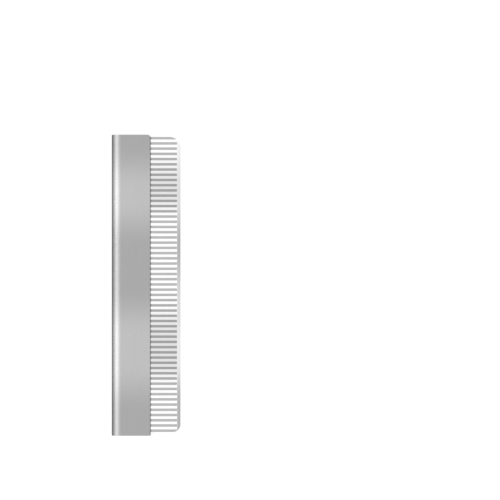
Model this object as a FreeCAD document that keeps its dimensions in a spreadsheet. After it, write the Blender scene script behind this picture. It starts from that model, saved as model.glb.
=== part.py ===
import FreeCAD, Part
import math
import os
import Sketcher

# Eyebrow razor: a folded steel spine that clamps a ground blade between two guard combs.
# It lies on its rear face, so +Z is its front. +X points at the cutting edge, and +Y runs along it.
# Each piece is drawn about the mouth of the spine (X = 0), its own mid-length and a middle plane or
# inner face, and is then placed so that the razor's box is centred over the origin.

# Driving dimensions, in millimetres
DRIVING = {
    # Spine, one strip folded into a channel that opens at its mouth
    "spine_length": 43.2,
    "spine_width": 5.57,
    "spine_sheet": 0.30,
    "fold_depth": 1.35,
    "fold_inner_radius": 0.12,
    "mouth_round": 0.10,
    "lead_in_radius": 0.45,
    # Blade, clamped in the channel and standing out of its mouth; its nose is at the lead-in end
    "blade_length": 42.35,
    "blade_exposure": 4.29,
    "blade_thickness": 0.24,
    "blade_nose_radius": 1.55,
    "blade_heel_radius": 1.05,
    "blade_setback": 0.32,
    "seat_clearance": 0.12,
    "grind_width": 0.47,
    "hone_width": 0.10,
    "hone_thickness": 0.07,
    # Guard combs, one on each side of the blade
    "comb_sheet": 0.18,
    "edge_reach": 0.51,
    "tooth_pitch": 0.75,
    "tooth_width": 0.35,
    "tooth_corner_radius": 0.08,
    "tip_bevel": 0.05,
    "slot_cover": 1.00,
    # How far every cut runs past the solid
    "cut_overrun": 0.50,
    # The most of its sheet's thickness that a rounded or bevelled edge takes
    "edge_limit_share": 0.80,
}

# Sizes that follow from the driving dimensions
DERIVED = {
    # Half thicknesses, from the middle plane of the blade
    "blade_half": "Dims.blade_thickness / 2",
    "stack_half": "blade_half + Dims.comb_sheet",
    "razor_half": "stack_half + Dims.spine_sheet",
    # Fold: a nose arc between two shoulder arcs, which run out tangent to the flat leaves
    "leaf_start": "Dims.fold_depth - Dims.spine_width",
    "nose_radius": "Dims.fold_inner_radius + Dims.spine_sheet",
    "nose_run": "Dims.fold_depth - nose_radius",
    "shoulder_radius": "(nose_run^2 + razor_half^2 - nose_radius^2) / (2 * (razor_half - nose_radius))",
    "join_sine": "nose_run / (shoulder_radius - nose_radius)",
    "join_drop": "1 - sqrt(1 - join_sine^2)",
    "join_x": "leaf_start - shoulder_radius * join_sine",
    "join_z": "razor_half - shoulder_radius * join_drop",
    # Channel: the inside of the same fold, one sheet thickness in
    "channel_shoulder_radius": "shoulder_radius - Dims.spine_sheet",
    "channel_join_x": "leaf_start - channel_shoulder_radius * join_sine",
    "channel_join_z": "stack_half - channel_shoulder_radius * join_drop",
    "mouth_fillet": "min(Dims.mouth_round; Dims.edge_limit_share * Dims.spine_sheet)",
    "spine_end": "Dims.spine_length / 2",
    # Blade
    "seat_x": "leaf_start + Dims.seat_clearance",
    "grind_x": "Dims.blade_exposure - Dims.grind_width",
    "hone_x": "Dims.blade_exposure - Dims.hone_width",
    "hone_half": "Dims.hone_thickness / 2",
    "blade_end": "Dims.blade_length / 2",
    # Combs: a tooth at both ends of the blade, so the pitch is trimmed to a whole number of slots
    "slot_count": "round((Dims.blade_length - Dims.tooth_width) / Dims.tooth_pitch)",
    "slot_pitch": "(Dims.blade_length - Dims.tooth_width) / slot_count",
    "slot_half": "(slot_pitch - Dims.tooth_width) / 2",
    "slot_span": "slot_pitch * (slot_count - 1)",
    "slot_first_y": "-slot_span / 2",
    "slot_root_x": "-Dims.slot_cover",
    "tip_x": "Dims.blade_exposure - Dims.edge_reach",
    "tip_past_x": "tip_x + Dims.cut_overrun",
    "tip_chamfer": "min(Dims.tip_bevel; Dims.edge_limit_share * Dims.comb_sheet)",
    "tooth_corner": "min(Dims.tooth_corner_radius; Dims.edge_limit_share * Dims.tooth_width / 2)",
    "flare_x": "tip_x - tooth_corner",
    "flare_half": "slot_half + tooth_corner",
    # Where the pieces are placed
    "mouth_x": "(Dims.spine_width - Dims.blade_exposure) / 2",
    "blade_y": "spine_end - Dims.blade_setback - blade_end",
    "front_comb_z": "razor_half + blade_half",
    "rear_comb_z": "razor_half - blade_half",
}

doc = FreeCAD.newDocument("eyebrow_razor")


def make_sheet(name, rows):
    """A spreadsheet with a name in column A and its aliased value in column B."""
    sheet = doc.addObject("Spreadsheet::Sheet", name)
    for row, (alias, content) in enumerate(rows.items(), start=1):
        sheet.set(f"A{row}", alias)
        sheet.set(f"B{row}", str(content))
        sheet.setAlias(f"B{row}", alias)
    doc.recompute()
    return sheet


dims = make_sheet("Dims", DRIVING)
derived = make_sheet("Derived", {alias: "=" + formula for alias, formula in DERIVED.items()})


def cell(alias):
    """The expression that reads a cell, with any minus sign before its alias kept."""
    sign, plain = ("-", alias[1:]) if alias.startswith("-") else ("", alias)
    sheet = dims if plain in DRIVING else derived
    return f"{sign}{sheet.Name}.{plain}"


def value(alias):
    """The number in a cell, with any minus sign before its alias applied."""
    sign, plain = (-1, alias[1:]) if alias.startswith("-") else (1, alias)
    sheet = dims if plain in DRIVING else derived
    return sign * float(getattr(sheet, plain))


def bind(feature, **aliases):
    """Ties properties of a feature to cells."""
    for name, alias in aliases.items():
        feature.setExpression(name, cell(alias))


def origin_feature(body, role):
    return next(part for part in body.Origin.OriginFeatures if part.Role == role)


def new_sketch(body, name, plane, offset_x=None, offset_y=None):
    """A sketch on one of the body's own planes, its origin moved by the named cells if any."""
    sketch = body.newObject("Sketcher::SketchObject", name)
    sketch.AttachmentSupport = (origin_feature(body, plane), [""])
    sketch.MapMode = "FlatFace"
    for axis, alias in (("x", offset_x), ("y", offset_y)):
        if alias:
            sketch.setExpression(f"AttachmentOffset.Base.{axis}", cell(alias))
    return sketch


def arc_between(start, end, radius):
    """The arc under a half circle from start to end; a negative radius turns it clockwise."""
    chord = end - start
    height = math.sqrt(radius ** 2 - (chord.Length / 2) ** 2)
    left = FreeCAD.Vector(-chord.y, chord.x, 0).normalize()
    turn = math.copysign(1, radius)
    centre = (start + end) / 2 + left * (turn * height)
    first, last = (start, end) if turn > 0 else (end, start)
    angles = [math.atan2(point.y - centre.y, point.x - centre.x) for point in (first, last)]
    circle = Part.Circle(centre, FreeCAD.Vector(0, 0, 1), abs(radius))
    return Part.ArcOfCircle(circle, *angles)


def draw_outline(sketch, corners):
    """Draws a closed outline whose corners and radii are all tied to cells.

    Each corner is (x, y) or (x, y, radius): cells for its place, with 0 for a place on an axis, and
    for an arc from there to the next corner, which turns clockwise where the radius has a minus sign.
    """
    points = [FreeCAD.Vector(*(value(alias) if alias else 0 for alias in corner[:2])) for corner in corners]
    ends = []
    for index, (corner, start) in enumerate(zip(corners, points)):
        end = points[(index + 1) % len(points)]
        radius = corner[2] if len(corner) > 2 else None
        edge = arc_between(start, end, value(radius)) if radius else Part.LineSegment(start, end)
        edge_id = sketch.addGeometry(edge, False)
        # an arc always runs anticlockwise, so a clockwise one starts at the far corner
        ends.append((edge_id, 2, 1) if radius and radius.startswith("-") else (edge_id, 1, 2))
        if radius:
            limit = sketch.addConstraint(Sketcher.Constraint("Radius", edge_id, abs(value(radius))))
            sketch.setExpression(f"Constraints[{limit}]", cell(radius.lstrip("-")))
    for index, corner in enumerate(corners):
        edge_id, start, _ = ends[index]
        last_id, _, last_end = ends[index - 1]
        sketch.addConstraint(Sketcher.Constraint("Coincident", last_id, last_end, edge_id, start))
        for kind, alias in zip(("DistanceX", "DistanceY"), corner[:2]):
            distance = value(alias) if alias else 0
            limit = sketch.addConstraint(Sketcher.Constraint(kind, edge_id, start, distance))
            if alias:
                sketch.setExpression(f"Constraints[{limit}]", cell(alias))


def pad(body, sketch, name, length, symmetric):
    feature = body.newObject("PartDesign::Pad", name)
    feature.Profile = sketch
    feature.SideType = "Symmetric" if symmetric else "One side"
    bind(feature, Length=length)
    doc.recompute()
    return feature


def cut_through(body, sketch, name):
    """A pocket through everything on both sides of its sketch."""
    feature = body.newObject("PartDesign::Pocket", name)
    feature.Profile = sketch
    feature.Type = "ThroughAll"
    feature.SideType = "Symmetric"
    doc.recompute()
    return feature


def dress_edges(body, base, kind, name, wanted, **size):
    """A fillet or chamfer on the edges of the base feature whose box passes the test."""
    feature = body.newObject(f"PartDesign::{kind}", name)
    edges = [f"Edge{number}" for number, edge in enumerate(base.Shape.Edges, start=1) if wanted(edge.BoundBox)]
    feature.Base = (base, edges)
    bind(feature, **size)
    doc.recompute()


def same(first, second):
    return math.isclose(first, second, abs_tol=Part.Precision.confusion())


def cut_corner(body, name, radius, edge_x, end_y):
    """Rounds a square corner by cutting its waste away. A minus sign on end_y puts it at the -Y end."""
    outward, inward = ("-", "") if end_y.startswith("-") else ("", "-")
    sketch = new_sketch(body, f"{name}_waste", "XY_Plane", edge_x, end_y)
    draw_outline(sketch, [
        (0, f"{inward}{radius}", f"{outward}{radius}"),
        (f"-{radius}", 0),
        (f"-{radius}", f"{outward}cut_overrun"),
        ("cut_overrun", f"{outward}cut_overrun"),
        ("cut_overrun", f"{inward}{radius}"),
    ])
    cut_through(body, sketch, name)


def new_body(label, x, z, y=None):
    body = doc.addObject("PartDesign::Body", label)
    body.Label = label
    for axis, alias in (("x", x), ("y", y), ("z", z)):
        if alias:
            body.setExpression(f"Placement.Base.{axis}", cell(alias))
    return body


def fold_outline(mouth_x, half, shoulder, join_x, join_z, nose):
    """Section of the fold: the two flat sides, closed at the mouth and by three tangent arcs behind."""
    return [
        (mouth_x, half),
        ("leaf_start", half, shoulder),
        (join_x, join_z, nose),
        (join_x, f"-{join_z}", shoulder),
        ("leaf_start", f"-{half}"),
        (mouth_x, f"-{half}"),
    ]


def make_spine():
    """Folded channel with rounded mouth edges and a lead-in corner at its +Y end."""
    body = new_body("spine", "mouth_x", "razor_half")
    section = new_sketch(body, "spine_section", "XZ_Plane")
    draw_outline(section, fold_outline(0, "razor_half", "shoulder_radius", "join_x", "join_z", "nose_radius"))
    pad(body, section, "spine_strip", "spine_length", symmetric=True)
    channel = new_sketch(body, "channel_section", "XZ_Plane")
    draw_outline(channel, fold_outline(
        "cut_overrun", "stack_half", "channel_shoulder_radius", "channel_join_x", "channel_join_z",
        "fold_inner_radius",
    ))
    folded = cut_through(body, channel, "channel")
    half = value("razor_half")
    dress_edges(
        body, folded, "Fillet", "mouth_edges",
        lambda box: same(box.XMin, 0) and same(box.XMax, 0) and same(abs(box.Center.z), half),
        Radius="mouth_fillet",
    )
    cut_corner(body, "lead_in_corner", "lead_in_radius", None, "spine_end")
    return body


def make_blade():
    """Strip ground on both sides, with a finer honed facet along the edge and rounded corners."""
    body = new_body("blade", "mouth_x", "razor_half", "blade_y")
    section = new_sketch(body, "blade_section", "XZ_Plane")
    draw_outline(section, [
        ("seat_x", "-blade_half"),
        ("grind_x", "-blade_half"),
        ("hone_x", "-hone_half"),
        ("blade_exposure", 0),
        ("hone_x", "hone_half"),
        ("grind_x", "blade_half"),
        ("seat_x", "blade_half"),
    ])
    pad(body, section, "ground_strip", "blade_length", symmetric=True)
    cut_corner(body, "blade_nose", "blade_nose_radius", "blade_exposure", "blade_end")
    cut_corner(body, "blade_heel", "blade_heel_radius", "blade_exposure", "-blade_end")
    return body


def make_comb(label, z, turned_over):
    """Thin leaf slotted into teeth, drawn with the face that lies on the blade at Z = 0."""
    body = new_body(label, "mouth_x", z, "blade_y")
    if turned_over:
        body.Placement.Rotation = FreeCAD.Rotation(FreeCAD.Vector(1, 0, 0), 180)
    plan = new_sketch(body, "comb_plan", "XY_Plane")
    draw_outline(plan, [
        ("seat_x", "-blade_end"),
        ("tip_x", "-blade_end"),
        ("tip_x", "blade_end"),
        ("seat_x", "blade_end"),
    ])
    leaf = pad(body, plan, "comb_leaf", "comb_sheet", symmetric=False)
    tip, face = value("tip_x"), value("comb_sheet")
    dress_edges(
        body, leaf, "Chamfer", "tip_edge",
        lambda box: same(box.XMin, tip) and same(box.ZMin, face),
        Size="tip_chamfer",
    )
    slot_sketch = new_sketch(body, "slot_outline", "XY_Plane", offset_y="slot_first_y")
    draw_outline(slot_sketch, [
        ("slot_root_x", "-slot_half"),
        ("flare_x", "-slot_half", "-tooth_corner"),
        ("tip_x", "-flare_half"),
        ("tip_past_x", "-flare_half"),
        ("tip_past_x", "flare_half"),
        ("tip_x", "flare_half", "-tooth_corner"),
        ("flare_x", "slot_half"),
        ("slot_root_x", "slot_half"),
    ])
    slot = cut_through(body, slot_sketch, "first_slot")
    slots = body.newObject("PartDesign::LinearPattern", "slots")
    slots.Originals = [slot]
    slots.Direction = (origin_feature(body, "Y_Axis"), [""])
    bind(slots, Length="slot_span", Occurrences="slot_count")
    body.Tip = slots
    doc.recompute()
    # turning a comb over swaps its ends, and its corners stay over the blade's
    nose_end, heel_end = ("-blade_end", "blade_end") if turned_over else ("blade_end", "-blade_end")
    cut_corner(body, "comb_nose", "blade_nose_radius", "blade_exposure", nose_end)
    cut_corner(body, "comb_heel", "blade_heel_radius", "blade_exposure", heel_end)
    return body


def check_model(pieces):
    """Stops if a feature failed, a cut removed nothing or a piece isn't one valid solid."""
    for item in doc.Objects:
        if {"Invalid", "Error"} & set(item.State):
            raise RuntimeError(f"{item.Name} failed: {item.State}")
    for body in pieces:
        solids = [item for item in body.Group if item.isDerivedFrom("PartDesign::Feature")]
        for before, after in zip(solids, solids[1:]):
            if after.Shape.Volume >= before.Shape.Volume:
                raise RuntimeError(f"{after.Name} cuts nothing from {body.Label}")
        if body.Shape.isNull() or not body.Shape.isValid() or len(body.Shape.Solids) != 1:
            raise RuntimeError(f"{body.Label} isn't one valid solid")


pieces = [
    make_spine(),
    make_blade(),
    make_comb("front_guard_comb", "front_comb_z", turned_over=False),
    make_comb("rear_guard_comb", "rear_comb_z", turned_over=True),
]
doc.recompute()
check_model(pieces)
os.makedirs("parts", exist_ok=True)
for body in pieces:
    body.Shape.exportStep(f"parts/{body.Label}.step")
    print(f"{body.Label}: {body.Shape.Volume:.3f} mm3, {len(body.Shape.Faces)} faces")
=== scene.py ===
import math

import bmesh
import bpy
from mathutils import Matrix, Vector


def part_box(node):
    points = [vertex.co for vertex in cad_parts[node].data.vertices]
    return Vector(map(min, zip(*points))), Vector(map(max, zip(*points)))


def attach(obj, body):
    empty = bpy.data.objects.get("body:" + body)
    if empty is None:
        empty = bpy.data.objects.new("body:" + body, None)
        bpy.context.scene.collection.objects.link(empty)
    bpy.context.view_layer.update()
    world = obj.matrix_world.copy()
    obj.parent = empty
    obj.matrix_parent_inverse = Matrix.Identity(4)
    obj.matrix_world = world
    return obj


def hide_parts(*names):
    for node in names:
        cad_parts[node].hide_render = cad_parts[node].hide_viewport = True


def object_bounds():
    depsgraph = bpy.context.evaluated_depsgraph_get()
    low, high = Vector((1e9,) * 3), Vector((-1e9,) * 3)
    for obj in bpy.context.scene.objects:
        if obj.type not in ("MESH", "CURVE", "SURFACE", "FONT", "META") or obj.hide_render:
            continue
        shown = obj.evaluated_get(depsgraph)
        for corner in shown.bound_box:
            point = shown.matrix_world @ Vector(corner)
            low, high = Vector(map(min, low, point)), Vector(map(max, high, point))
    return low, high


# Eyebrow razor on a white light table, seen square on: a folded satin spine clamps a polished blade
# between two satin guard combs. Each CAD node is replaced by a finer piece of the same size, with
# smooth arcs and broken edges. Pieces are drawn in millimetres and scaled to the frame's metres.

MM_PER_M = 1000.0

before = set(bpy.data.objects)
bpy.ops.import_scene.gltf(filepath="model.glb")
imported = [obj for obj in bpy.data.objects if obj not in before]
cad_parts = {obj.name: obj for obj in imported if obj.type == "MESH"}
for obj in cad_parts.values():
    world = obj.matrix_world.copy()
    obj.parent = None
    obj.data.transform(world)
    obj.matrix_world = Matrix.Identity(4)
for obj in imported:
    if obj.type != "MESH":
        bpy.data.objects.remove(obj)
cad_low, cad_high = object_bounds()


# Sizes taken from the frame, in millimetres

def box_mm(node):
    """The low and the high corner of a CAD node's box."""
    return [corner * MM_PER_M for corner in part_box(node)]


SPINE_LOW, SPINE_HIGH = box_mm("spine")
BLADE_LOW, BLADE_HIGH = box_mm("blade")
FRONT_LOW, FRONT_HIGH = box_mm("front_guard_comb")
REAR_HIGH = box_mm("rear_guard_comb")[1]
SPINE_HALF_LENGTH = (SPINE_HIGH.y - SPINE_LOW.y) / 2
SPINE_SHEET = SPINE_HIGH.z - FRONT_HIGH.z
COMB_SHEET = FRONT_HIGH.z - FRONT_LOW.z
RAZOR_HALF = (SPINE_HIGH.z - SPINE_LOW.z) / 2
BLADE_HALF = (BLADE_HIGH.z - BLADE_LOW.z) / 2
MIDDLE_Z = (SPINE_HIGH.z + SPINE_LOW.z) / 2
MOUTH_X = SPINE_HIGH.x
EDGE_X = BLADE_HIGH.x
TIP_X = FRONT_HIGH.x

# Forms of the solids that their boxes don't show, in millimetres

FOLD_DEPTH = 1.35
FOLD_INNER_RADIUS = 0.12
MOUTH_ROUND = 0.10
LEAD_IN_RADIUS = 0.45
BLADE_NOSE_RADIUS = 1.55
BLADE_HEEL_RADIUS = 1.05
GRIND_WIDTH = 0.47
HONE_WIDTH = 0.10
HONE_HALF = 0.035
TOOTH_PITCH = 0.75
TOOTH_WIDTH = 0.35
TOOTH_CORNER_RADIUS = 0.08
TIP_BEVEL = 0.05
SLOT_COVER = 1.00

# Where these forms begin along X, and how many slots a comb has

LEAD_IN_X = MOUTH_X - LEAD_IN_RADIUS
GRIND_X = EDGE_X - GRIND_WIDTH
HONE_X = EDGE_X - HONE_WIDTH
ROOT_X = MOUTH_X - SLOT_COVER
TIP_CORNER_X = TIP_X - TOOTH_CORNER_RADIUS
TIP_BEVEL_X = TIP_X - TIP_BEVEL
SLOT_COUNT = round((BLADE_HIGH.y - BLADE_LOW.y - TOOTH_WIDTH) / TOOTH_PITCH)

# Edges broken by tumbling, and the least gap between lines across a tooth, in millimetres

SPINE_EDGE_BREAK = 0.05
TOOTH_EDGE_BREAK = 0.02
TOOTH_POINT = 0.06
LINE_GAP = 0.005

# How finely arcs are drawn, how faces are shaded and how corners are told apart

BREAK_STEPS = 3
MOUTH_STEPS = 6
SHOULDER_STEPS = 10
NOSE_STEPS = 18
CORNER_STEPS = 12
TIP_STEPS = 4
ROUND_PROFILE = 0.5
QUARTER_TURN = math.pi / 2
SHARP_ANGLE = math.radians(40)
LARGEST_FACES = 100
CORNER_DIGITS = 5


# Mesh building

class Shell:
    """A mesh in millimetres, whose faces share the corners that lie at the same place."""

    def __init__(self):
        self.mesh = bmesh.new()
        self.corners = {}

    def corner(self, point):
        """The mesh's corner at a point, made when it is first asked for."""
        key = tuple(round(part, CORNER_DIGITS) for part in point)
        if key not in self.corners:
            self.corners[key] = self.mesh.verts.new(point)
        return self.corners[key]

    def face(self, *points):
        """Adds a face, unless too many of its corners fall together."""
        corners = list(dict.fromkeys(self.corner(point) for point in points))
        if len(corners) > 2:
            self.mesh.faces.new(corners)

    def break_edges(self, wanted, size):
        """Rounds the edges whose middle passes the test and whose two faces meet at an angle."""
        self.mesh.normal_update()
        bmesh.ops.recalc_face_normals(self.mesh, faces=self.mesh.faces)
        edges = [
            edge for edge in self.mesh.edges
            if len(edge.link_faces) == 2 and edge.calc_face_angle() > SHARP_ANGLE
            and wanted((edge.verts[0].co + edge.verts[1].co) / 2)
        ]
        bmesh.ops.bevel(
            self.mesh, geom=edges, offset=size, segments=BREAK_STEPS, profile=ROUND_PROFILE,
            affect="EDGES", clamp_overlap=False,
        )


def shade_evenly(piece):
    """Lets the large faces set the shading, so that a broken edge doesn't bend the flat face beside it.

    The piece is still in millimetres here, because areas this small in metres are too small to weigh.
    """
    drawn = piece.data
    drawn.shade_smooth()
    drawn.set_sharp_from_angle(angle=SHARP_ANGLE)
    even = piece.modifiers.new("even_shading", "WEIGHTED_NORMAL")
    even.keep_sharp = True
    even.weight = LARGEST_FACES
    graph = bpy.context.evaluated_depsgraph_get()
    piece.data = bpy.data.meshes.new_from_object(
        piece.evaluated_get(graph), preserve_all_data_layers=True, depsgraph=graph,
    )
    piece.modifiers.clear()
    bpy.data.meshes.remove(drawn)


def add_piece(shell, name, node, material):
    """Puts a finished shell in the scene in place of a CAD node."""
    bmesh.ops.recalc_face_normals(shell.mesh, faces=shell.mesh.faces)
    mesh = bpy.data.meshes.new(name)
    shell.mesh.to_mesh(mesh)
    shell.mesh.free()
    mesh.materials.append(material)
    piece = bpy.data.objects.new(name, mesh)
    bpy.context.scene.collection.objects.link(piece)
    shade_evenly(piece)
    piece.data.name = name
    piece.data.transform(Matrix.Scale(1 / MM_PER_M, 4))
    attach(piece, "root")
    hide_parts(node)


def arc_inset(x, start, radius):
    """How far a corner arc that begins at start has cut in from the side at x."""
    along = min(max(x - start, 0.0), radius)
    return radius - math.sqrt(radius ** 2 - along ** 2)


def arc_places(start, radius, steps):
    """Places along X on a corner arc, spaced evenly round it."""
    return [start + radius * math.sin(QUARTER_TURN * step / steps) for step in range(steps + 1)]


# Spine

def fold_line(depth, mouth):
    """One line of the spine's section, at a depth below its outer face: front mouth, fold, rear mouth.

    From each leaf a wide shoulder arc runs smoothly into the tight nose arc at the back.
    """
    nose = FOLD_INNER_RADIUS + SPINE_SHEET
    run = FOLD_DEPTH - nose
    shoulder = (run ** 2 + RAZOR_HALF ** 2 - nose ** 2) / (2 * (RAZOR_HALF - nose))
    join = math.asin(run / (shoulder - nose))
    leaf_start = SPINE_LOW.x + FOLD_DEPTH
    points = list(mouth)
    radius = shoulder - depth
    for step in range(SHOULDER_STEPS):
        tilt = join * step / SHOULDER_STEPS
        points.append((leaf_start - radius * math.sin(tilt), RAZOR_HALF - shoulder + radius * math.cos(tilt)))
    radius = nose - depth
    for step in range(NOSE_STEPS + 1):
        tilt = join + (QUARTER_TURN - join) * step / NOSE_STEPS
        points.append((SPINE_LOW.x + nose - radius * math.sin(tilt), radius * math.cos(tilt)))
    rear = [(x, -z) for x, z in reversed(points[:-1])]
    return [(x, MIDDLE_Z + z) for x, z in points + rear]


def mouth_lines():
    """The outer and the inner line of a leaf from its rounded mouth edge to behind the lead-in corner."""
    outer = []
    for step in range(MOUTH_STEPS + 1):
        turn = QUARTER_TURN * step / MOUTH_STEPS
        x = MOUTH_X - MOUTH_ROUND * (1 - math.cos(turn))
        outer.append((x, RAZOR_HALF - MOUTH_ROUND * (1 - math.sin(turn))))
    for x in reversed(arc_places(LEAD_IN_X, LEAD_IN_RADIUS, CORNER_STEPS)):
        if x < MOUTH_X - MOUTH_ROUND:
            outer.append((x, RAZOR_HALF))
    inner = [(x, RAZOR_HALF - SPINE_SHEET) for x, z in outer]
    return outer, inner


def spine_shell():
    """The folded strip: its section drawn out along Y, with the lead-in corner at the +Y end."""
    shell = Shell()
    mouth_outer, mouth_inner = mouth_lines()
    outer = fold_line(0.0, mouth_outer)
    inner = fold_line(SPINE_SHEET, mouth_inner)

    def at_low(point):
        return (point[0], SPINE_LOW.y, point[1])

    def at_high(point):
        lead_in = arc_inset(point[0], LEAD_IN_X, LEAD_IN_RADIUS)
        return (point[0], SPINE_HIGH.y - lead_in, point[1])

    ring = outer + inner[::-1]
    for start, end in zip(ring, ring[1:] + ring[:1]):
        shell.face(at_low(start), at_low(end), at_high(end), at_high(start))
    for at_end in (at_low, at_high):
        for quad in zip(outer, outer[1:], inner[1:], inner):
            shell.face(*[at_end(point) for point in quad])
    inside = SPINE_HALF_LENGTH - LEAD_IN_RADIUS
    shell.break_edges(lambda middle: abs(middle.y) > inside, SPINE_EDGE_BREAK)
    return shell


# Blade

def blade_half_at(x):
    """Half the blade's thickness: full, then the ground bevel, then the finer hone at the edge."""
    stations = [(BLADE_LOW.x, BLADE_HALF), (GRIND_X, BLADE_HALF), (HONE_X, HONE_HALF), (EDGE_X, 0.0)]
    for (start, first), (end, last) in zip(stations, stations[1:]):
        if x <= end:
            return first + (last - first) * (x - start) / (end - start)
    return 0.0


def corner_inset(x, radius):
    """How far a round corner beside the edge has cut in from the blade's end at x."""
    return arc_inset(x, EDGE_X - radius, radius)


def corner_places(radius):
    """Places along X on a round corner beside the edge."""
    return arc_places(EDGE_X - radius, radius, CORNER_STEPS)


def blade_shell():
    """The ground strip, with both corners beside the edge rounded."""
    shell = Shell()
    places = [BLADE_LOW.x, GRIND_X, HONE_X]
    places = sorted(places + corner_places(BLADE_NOSE_RADIUS) + corner_places(BLADE_HEEL_RADIUS))

    def point(x, end, face):
        """A point at x: end is +1 at the nose and -1 at the heel, face +1 in front and -1 behind."""
        nose = BLADE_HIGH.y - corner_inset(x, BLADE_NOSE_RADIUS)
        heel = BLADE_LOW.y + corner_inset(x, BLADE_HEEL_RADIUS)
        return (x, nose if end > 0 else heel, MIDDLE_Z + face * blade_half_at(x))

    for near, far in zip(places, places[1:]):
        quad = [(near, -1), (far, -1), (far, 1), (near, 1)]
        for face in (-1, 1):
            shell.face(*[point(x, end, face) for x, end in quad])
        for end in (-1, 1):
            shell.face(*[point(x, end, face) for x, face in quad])
    back = [(-1, -1), (1, -1), (1, 1), (-1, 1)]
    shell.face(*[point(BLADE_LOW.x, end, face) for end, face in back])
    return shell


# Guard combs

class CombShell(Shell):
    """A comb whose inner face lies on the blade; outward is +1 on the front one and -1 on the rear one."""

    def __init__(self, inner_z, outward):
        super().__init__()
        self.inner_z = inner_z
        self.outward = outward

    def inner(self, x, y):
        """A point on the face that lies on the blade."""
        return (x, y, self.inner_z)

    def outer(self, x, y):
        """A point on the outer face, which is bevelled at the tips."""
        bevel = max(0.0, x - TIP_BEVEL_X)
        return (x, y, self.inner_z + self.outward * (COMB_SHEET - bevel))

    def slab(self, near, far):
        """Both faces between two crosswise lines, each given by its two ends."""
        for point in (self.inner, self.outer):
            self.face(point(*near[0]), point(*near[1]), point(*far[1]), point(*far[0]))

    def wall(self, start, end):
        """The side of the sheet between two places."""
        self.face(self.inner(*start), self.inner(*end), self.outer(*end), self.outer(*start))

    def tooth(self, lines):
        """A tooth drawn along its crosswise lines and closed at its tip."""
        for near, far in zip(lines, lines[1:]):
            self.slab(near, far)
            self.wall(near[0], far[0])
            self.wall(near[1], far[1])
        self.wall(*lines[-1])

    def leaf(self, low_y, high_y):
        """The uncut sheet behind one tooth or one slot."""
        back = [(FRONT_LOW.x, low_y), (FRONT_LOW.x, high_y)]
        self.slab(back, [(ROOT_X, low_y), (ROOT_X, high_y)])
        self.wall(*back)

    def is_broken(self, middle):
        """All edges are broken but those on the blade, along the back and at the slots' roots."""
        clear = min(middle.x - FRONT_LOW.x, abs(middle.x - ROOT_X), abs(middle.z - self.inner_z))
        return clear > TOOTH_EDGE_BREAK


def tooth_starts():
    """Where each tooth begins along Y, from the heel to the nose."""
    pitch = (FRONT_HIGH.y - FRONT_LOW.y - TOOTH_WIDTH) / SLOT_COUNT
    return [FRONT_LOW.y + pitch * index for index in range(SLOT_COUNT + 1)]


def tooth_lines(start, heel, nose):
    """Crosswise lines along a tooth from its root to its tip, each given by its two ends.

    A side is rounded at the tip, or follows the blade's corner beside the heel or the nose. Where a
    corner cuts right across the tooth, the tooth ends in a blunt point. Lines too close together for
    the edges between them to be broken are left out.
    """
    places = arc_places(TIP_CORNER_X, TOOTH_CORNER_RADIUS, TIP_STEPS)
    end = TIP_X
    for radius in [BLADE_HEEL_RADIUS] * heel + [BLADE_NOSE_RADIUS] * nose:
        blunt = EDGE_X - radius + math.sqrt(radius ** 2 - (radius - TOOTH_WIDTH + TOOTH_POINT) ** 2)
        places += corner_places(radius)
        end = min(end, blunt)
    gap = TOOTH_EDGE_BREAK if heel or nose else LINE_GAP
    kept = [ROOT_X, min(end, TIP_BEVEL_X), end]
    for x in places:
        if ROOT_X < x < end and min(abs(x - other) for other in kept) >= gap:
            kept.append(x)
    lines = []
    for x in sorted(set(kept)):
        tip = arc_inset(x, TIP_CORNER_X, TOOTH_CORNER_RADIUS)
        low = start + (corner_inset(x, BLADE_HEEL_RADIUS) if heel else tip)
        high = start + TOOTH_WIDTH - (corner_inset(x, BLADE_NOSE_RADIUS) if nose else tip)
        lines.append([(x, low), (x, high)])
    return lines


def comb_shell(inner_z, outward):
    """A slotted sheet with its end teeth cut to the blade's corners."""
    shell = CombShell(inner_z, outward)
    starts = tooth_starts()
    for index, start in enumerate(starts):
        last = index == SLOT_COUNT
        stop = start + TOOTH_WIDTH
        shell.tooth(tooth_lines(start, heel=index == 0, nose=last))
        shell.leaf(start, stop)
        if not last:
            shell.leaf(stop, starts[index + 1])
            shell.wall((ROOT_X, stop), (ROOT_X, starts[index + 1]))
    for end in (starts[0], starts[-1] + TOOTH_WIDTH):
        shell.wall((FRONT_LOW.x, end), (ROOT_X, end))
    shell.break_edges(shell.is_broken, TOOTH_EDGE_BREAK)
    return shell


# Shader nodes

NOISE_DETAIL = 3.0
MIDWAY = 0.5


def add(tree, kind, inputs=None, **settings):
    """Adds a node. Each input is a number, a colour or another node's output socket."""
    node = tree.nodes.new(kind)
    for name, setting in settings.items():
        setattr(node, name, setting)
    for name, source in (inputs or {}).items():
        if isinstance(source, bpy.types.NodeSocket):
            tree.links.new(source, node.inputs[name])
        else:
            node.inputs[name].default_value = source
    return node


def math_node(tree, operation, first, second=0.0):
    """The result of one operation on a number, or on two."""
    return add(tree, "ShaderNodeMath", {0: first, 1: second}, operation=operation).outputs[0]


def product(tree, level, *factors):
    """A level times each of the factors."""
    for factor in factors:
        level = math_node(tree, "MULTIPLY", level, factor)
    return level


def between(tree, share, low, high):
    """A level that goes from low to high as a share goes from 0 to 1."""
    return add(tree, "ShaderNodeMapRange", {"Value": share, "To Min": low, "To Max": high}).outputs["Result"]


def mix(tree, share, first, second, data_type="FLOAT"):
    """Goes from the first input to the second as a share goes from 0 to 1."""
    inputs = {"Factor": share, "A": first, "B": second}
    return add(tree, "ShaderNodeMix", inputs, data_type=data_type).outputs["Result"]


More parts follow.
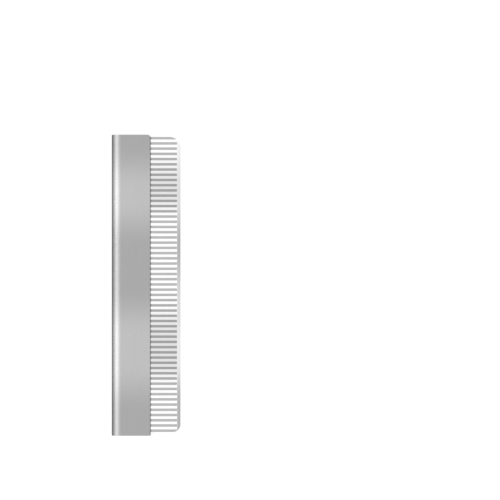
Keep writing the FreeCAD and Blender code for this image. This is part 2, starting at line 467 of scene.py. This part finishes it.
def step_at(tree, value, start, end):
    """Goes smoothly from 0 at one value to 1 at another, both in millimetres."""
    inputs = {"Value": value, "From Min": start / MM_PER_M, "From Max": end / MM_PER_M}
    return add(tree, "ShaderNodeMapRange", inputs, interpolation_type="SMOOTHSTEP").outputs["Result"]


def bands(tree, along, spans):
    """1 in each band along an axis and 0 outside it; a span is where one starts, fills, fades and ends."""
    mask = None
    for start, full, fade, end in spans:
        band = math_node(tree, "SUBTRACT", step_at(tree, along, start, full), step_at(tree, along, fade, end))
        mask = math_node(tree, "MAXIMUM", mask, band) if mask else band
    return mask


def grain(tree, vector, stretch, size):
    """Noise of a size in millimetres; a small stretch draws it out along that axis."""
    mapped = add(tree, "ShaderNodeMapping", {"Vector": vector, "Scale": stretch}).outputs[0]
    inputs = {"Vector": mapped, "Scale": MM_PER_M / size, "Detail": NOISE_DETAIL}
    return add(tree, "ShaderNodeTexNoise", inputs).outputs["Fac"]


def ramp(tree, value, stops):
    """Turns a value from 0 to 1 into a smooth grey between stops of place and level."""
    node = add(tree, "ShaderNodeValToRGB", {"Fac": value})
    node.color_ramp.interpolation = "EASE"
    elements = node.color_ramp.elements
    while len(elements) < len(stops):
        elements.new(MIDWAY)
    for element, (position, level) in zip(elements, stops):
        element.position = position
        element.color = (level, level, level, 1.0)
    return node.outputs["Color"]


# Painted sheen of the steel: bands of reflection painted into the tone along Y in millimetres, and the tones
# outside and inside them

SPINE_SHEEN = [(-18.3, -11.3, -7.3, -0.3), (5.5, 12.1, 13.7, 20.3)]
SPINE_TONES = (0.367, 0.479)
COMB_SHEEN = [(-15.6, -11.6, -6.4, 0.2), (9.2, 11.7, 15.0, 20.5)]
COMB_TONES = (0.453, 0.33)
BLADE_SHEEN = [(-15.2, -10.6, -7.0, -2.0), (9.3, 13.2, 14.1, 19.4)]
BLADE_TONES = (0.96, 0.735)
BEVEL_SHEEN = [(-26.0, -21.0, -16.8, -10.5), (-3.0, 5.2, 6.2, 12.4)]
BEVEL_TONES = (0.775, 0.50)
# Painted glints: highlights painted into the bevel's tone towards the nose and the heel
NOSE_GLINT = (13.7, 20.7)
NOSE_GLINT_LEVELS = (1.0, 1.24)
HEEL_GLINT = (-16.5, -11.5, -8.5, -3.5)
HEEL_GLINT_LEVELS = (1.0, 1.135)

# Marks on the steel: places and widths in millimetres, and the levels outside and inside each mark; the mouth
# marks are painted shade, the rim is wear

# Painted shade: a dark line painted along the spine's rounded mouth edge, given as insets from the mouth
MOUTH_EDGE_SHADE = (0.055, 0.035, 0.01, -0.01)
MOUTH_EDGE_SHADE_LEVELS = (1.0, 0.15)
WORN_RIM = (0.15, 0.04)
WORN_LEVELS = (1.0, 1.12)
WORN_ROUGHNESS = (1.0, 0.75)
# Painted shade on the combs and the blade beside the spine's mouth, where shade falls at the step
MOUTH_SHADE_WIDTH = 0.22
COMB_MOUTH_SHADE_LEVELS = (1.0, 0.66)
BLADE_MOUTH_SHADE_LEVELS = (1.0, 0.86)
GRIND_BLEND = 0.02

# Grain of the steel: its stretch along the three axes and its size in millimetres

BRUSHED_GRAIN = ((1.0, 0.02, 1.0), 0.045)
CLOUD_GRAIN = ((1.0, 0.5, 1.0), 2.5)
COMB_GRAIN = ((0.3, 1.0, 1.0), 0.03)
GROUND_GRAIN = ((0.04, 1.0, 1.0), 0.03)
POLISH_GRAIN = ((1.0, 0.03, 1.0), 0.06)

# What the grain does to the tone and the roughness, from its lowest to its highest

FINE_LEVELS = (0.97, 1.03)
CLOUD_LEVELS = (0.985, 1.015)
POLISH_LEVELS = (0.98, 1.02)
BRUSHED_ROUGHNESS = (0.24, 0.31)
CLOUD_ROUGHNESS = (-0.015, 0.015)
COMB_ROUGHNESS = (0.24, 0.32)
GROUND_ROUGHNESS = (0.18, 0.26)
POLISH_ROUGHNESS = (0.09, 0.15)

# Relief of the grain: its strength, and its depth in millimetres

SPINE_RELIEF = (0.06, 0.002)
COMB_RELIEF = (0.05, 0.002)
BLADE_RELIEF = (0.04, 0.001)


# Materials

def new_metal(name):
    """A material with a bare metal shader, to be given its looks by finish_metal."""
    material = bpy.data.materials.new(name)
    material.use_nodes = True
    tree = material.node_tree
    tree.nodes.clear()
    shader = add(tree, "ShaderNodeBsdfPrincipled", {"Metallic": 1.0})
    output = add(tree, "ShaderNodeOutputMaterial")
    tree.links.new(shader.outputs["BSDF"], output.inputs["Surface"])
    return material, tree, shader


def finish_metal(tree, shader, tone, roughness, height, strength, depth):
    """Gives a metal its neutral tone, its roughness and the relief of its grain."""
    grey = add(tree, "ShaderNodeCombineColor", {0: tone, 1: tone, 2: tone}).outputs[0]
    bump = add(tree, "ShaderNodeBump", {"Height": height, "Strength": strength, "Distance": depth / MM_PER_M})
    tree.links.new(grey, shader.inputs["Base Color"])
    tree.links.new(roughness, shader.inputs["Roughness"])
    tree.links.new(bump.outputs[0], shader.inputs["Normal"])


def place_on_razor(tree):
    """A point's place on the razor in metres, as a vector and as its X and Y."""
    vector = add(tree, "ShaderNodeTexCoord").outputs["Object"]
    split = add(tree, "ShaderNodeSeparateXYZ", {0: vector}).outputs
    return vector, split["X"], split["Y"]


def shade_beside_mouth(tree, x):
    """1 under the spine and at its mouth, and 0 a little further out: painted shade on the sheet beside the
    spine's mouth.
    """
    return math_node(tree, "SUBTRACT", 1.0, step_at(tree, x, MOUTH_X, MOUTH_X + MOUTH_SHADE_WIDTH))


def spine_steel():
    """Satin sheet, brushed along its length, with painted sheen bands, a dark line of painted shade along its
    mouth edge and worn ends.
    """
    material, tree, shader = new_metal("spine_satin_steel")
    vector, x, y = place_on_razor(tree)
    lines = grain(tree, vector, *BRUSHED_GRAIN)
    cloud = grain(tree, vector, *CLOUD_GRAIN)
    edge_shade = bands(tree, x, [[MOUTH_X - inset for inset in MOUTH_EDGE_SHADE]])
    rim = [SPINE_HALF_LENGTH - inset for inset in WORN_RIM]
    worn = step_at(tree, math_node(tree, "ABSOLUTE", y), *rim)
    tone = product(
        tree,
        # Painted sheen: bands of reflection painted along the length
        between(tree, bands(tree, y, SPINE_SHEEN), *SPINE_TONES),
        # Painted shade: a dark line along the mouth edge
        between(tree, edge_shade, *MOUTH_EDGE_SHADE_LEVELS),
        between(tree, lines, *FINE_LEVELS),
        between(tree, cloud, *CLOUD_LEVELS),
        between(tree, worn, *WORN_LEVELS),
    )
    brushed = between(tree, lines, *BRUSHED_ROUGHNESS)
    uneven = math_node(tree, "ADD", brushed, between(tree, cloud, *CLOUD_ROUGHNESS))
    roughness = product(tree, uneven, between(tree, worn, *WORN_ROUGHNESS))
    finish_metal(tree, shader, tone, roughness, lines, *SPINE_RELIEF)
    return material


def comb_steel():
    """Thin satin sheet with an even, fine grain, painted sheen bands and painted shade beside the spine's
    mouth.
    """
    material, tree, shader = new_metal("comb_satin_steel")
    vector, x, y = place_on_razor(tree)
    speckle = grain(tree, vector, *COMB_GRAIN)
    tone = product(
        tree,
        # Painted sheen: bands of reflection painted along the length
        between(tree, bands(tree, y, COMB_SHEEN), *COMB_TONES),
        # Painted shade beside the spine's mouth
        between(tree, shade_beside_mouth(tree, x), *COMB_MOUTH_SHADE_LEVELS),
        between(tree, speckle, *FINE_LEVELS),
    )
    roughness = between(tree, speckle, *COMB_ROUGHNESS)
    finish_metal(tree, shader, tone, roughness, speckle, *COMB_RELIEF)
    return material


def blade_steel():
    """Strip polished along its length; the bevel beside its edge is ground, with fine lines across it."""
    material, tree, shader = new_metal("blade_polished_steel")
    vector, x, y = place_on_razor(tree)
    ground = step_at(tree, x, GRIND_X - GRIND_BLEND, GRIND_X + GRIND_BLEND)
    lines = grain(tree, vector, *GROUND_GRAIN)
    polish = grain(tree, vector, *POLISH_GRAIN)
    polished = product(
        tree,
        # Painted sheen: bands of reflection painted along the length
        between(tree, bands(tree, y, BLADE_SHEEN), *BLADE_TONES),
        # Painted shade beside the spine's mouth
        between(tree, shade_beside_mouth(tree, x), *BLADE_MOUTH_SHADE_LEVELS),
        between(tree, polish, *POLISH_LEVELS),
    )
    bevel = product(
        tree,
        # Painted sheen and painted glints on the bevel
        between(tree, bands(tree, y, BEVEL_SHEEN), *BEVEL_TONES),
        between(tree, step_at(tree, y, *NOSE_GLINT), *NOSE_GLINT_LEVELS),
        between(tree, bands(tree, y, [HEEL_GLINT]), *HEEL_GLINT_LEVELS),
        between(tree, lines, *FINE_LEVELS),
    )
    tone = mix(tree, ground, polished, bevel)
    smooth = between(tree, polish, *POLISH_ROUGHNESS)
    roughness = mix(tree, ground, smooth, between(tree, lines, *GROUND_ROUGHNESS))
    finish_metal(tree, shader, tone, roughness, mix(tree, ground, polish, lines), *BLADE_RELIEF)
    return material


# Stage: a light table, softboxes along the razor and a room round it

TABLE_HALF_M = 0.6
TABLE_GREY = 0.35
TABLE_GLOW = 0.80
SOFTBOX_LENGTH_M = 1.0
SOFTBOX_REACH_M = 1.0

# Softboxes: name, first and last tilt in degrees from straight above towards +X, and radiance

SOFTBOXES = [
    ("overhead_softbox", -6.5, 6.5, 0.56),
    ("edge_softbox", 6.5, 42, 0.46),
    ("inner_strip", -19, -6.5, 0.82),
    ("fold_strip", -37, -19, 1.95),
    ("rim_fill", -80, -37, 0.12),
    ("side_fill", 42, 78, 0.25),
]

# Room: stops of height and brightness across the razor and beyond its ends, and the share of the ends

ROOM_ACROSS = [(0.0, 0.44), (0.50, 0.32), (0.58, 0.52), (0.90, 0.48)]
ROOM_ENDS = [(0.0, 0.55), (0.35, 0.50), (0.50, 0.22), (0.54, 1.05), (0.72, 1.0), (0.85, 0.5)]
ENDS_SHARE = [(0.20, 0.0), (0.60, 1.0)]


def make_table():
    """A light table: it glows almost white, so that the razor throws only a faint shadow on it."""
    corners = [(x * TABLE_HALF_M, y * TABLE_HALF_M, 0.0) for x, y in ((-1, -1), (1, -1), (1, 1), (-1, 1))]
    mesh = bpy.data.meshes.new("light_table")
    mesh.from_pydata(corners, [], [(0, 1, 2, 3)])
    table = bpy.data.objects.new("light_table", mesh)
    material = bpy.data.materials.new("white_table")
    material.use_nodes = True
    shader = material.node_tree.nodes["Principled BSDF"]
    shader.inputs["Base Color"].default_value = (TABLE_GREY, TABLE_GREY, TABLE_GREY, 1.0)
    shader.inputs["Roughness"].default_value = 1.0
    shader.inputs["Specular IOR Level"].default_value = 0.0
    shader.inputs["Emission Color"].default_value = (1.0, 1.0, 1.0, 1.0)
    shader.inputs["Emission Strength"].default_value = TABLE_GLOW
    mesh.materials.append(material)
    table.visible_glossy = False
    bpy.context.scene.collection.objects.link(table)


def softbox(name, start, end, radiance):
    """A softbox that fills the tilts from start to end and faces the razor."""
    middle = math.radians(start + end) / 2
    width = 2 * SOFTBOX_REACH_M * math.tan(math.radians(end - start) / 2)
    data = bpy.data.lights.new(name, "AREA")
    data.shape = "RECTANGLE"
    data.size, data.size_y = width, SOFTBOX_LENGTH_M
    data.energy = radiance * math.pi * width * SOFTBOX_LENGTH_M
    light = bpy.data.objects.new(name, data)
    height = cad_high.z + math.cos(middle) * SOFTBOX_REACH_M
    light.location = (math.sin(middle) * SOFTBOX_REACH_M, 0, height)
    light.rotation_euler = (0, middle, 0)
    light.visible_camera = False
    bpy.context.scene.collection.objects.link(light)


def make_world():
    """A dim room across the razor, and lit walls beyond its two ends."""
    world = bpy.data.worlds.new("studio")
    world.use_nodes = True
    tree = world.node_tree
    tree.nodes.clear()
    direction = add(tree, "ShaderNodeTexCoord").outputs["Generated"]
    split = add(tree, "ShaderNodeSeparateXYZ", {0: direction}).outputs
    upwards = {"Value": split["Z"], "From Min": -1.0, "From Max": 1.0}
    height = add(tree, "ShaderNodeMapRange", upwards).outputs["Result"]
    share = ramp(tree, math_node(tree, "ABSOLUTE", split["Y"]), ENDS_SHARE)
    room = mix(tree, share, ramp(tree, height, ROOM_ACROSS), ramp(tree, height, ROOM_ENDS), data_type="RGBA")
    background = add(tree, "ShaderNodeBackground", {"Color": room})
    output = add(tree, "ShaderNodeOutputWorld")
    tree.links.new(background.outputs[0], output.inputs["Surface"])
    bpy.context.scene.world = world
    bpy.context.scene.view_settings.view_transform = "Standard"


# Camera: the photograph looks straight down on the front face through a long lens

FRAME_PIXELS = 500
SPINE_PIXELS = 301.1
RAZOR_CENTRE_PIXELS = (145.98, 285.2)
LENS_MM = 300
SENSOR_MM = 36
CLIP_RATIO = 10


def make_camera():
    """Shows the razor at its size and place in the photograph."""
    pixel = (cad_high.y - cad_low.y) / SPINE_PIXELS
    middle = (cad_low + cad_high) / 2
    distance = FRAME_PIXELS * pixel * LENS_MM / SENSOR_MM
    data = bpy.data.cameras.new("camera")
    data.lens = LENS_MM
    data.sensor_width = SENSOR_MM
    data.clip_start = distance / CLIP_RATIO
    data.clip_end = distance * CLIP_RATIO
    camera = bpy.data.objects.new("camera", data)
    camera.location = (
        middle.x + (FRAME_PIXELS / 2 - RAZOR_CENTRE_PIXELS[0]) * pixel,
        middle.y + (RAZOR_CENTRE_PIXELS[1] - FRAME_PIXELS / 2) * pixel,
        cad_high.z + distance,
    )
    bpy.context.scene.collection.objects.link(camera)
    bpy.context.scene.camera = camera


make_camera()
make_world()
for box in SOFTBOXES:
    softbox(*box)
make_table()
add_piece(spine_shell(), "folded_spine", "spine", spine_steel())
add_piece(blade_shell(), "ground_blade", "blade", blade_steel())
comb_material = comb_steel()
add_piece(comb_shell(FRONT_LOW.z, 1), "front_comb", "front_guard_comb", comb_material)
add_piece(comb_shell(REAR_HIGH.z, -1), "rear_comb", "rear_guard_comb", comb_material)
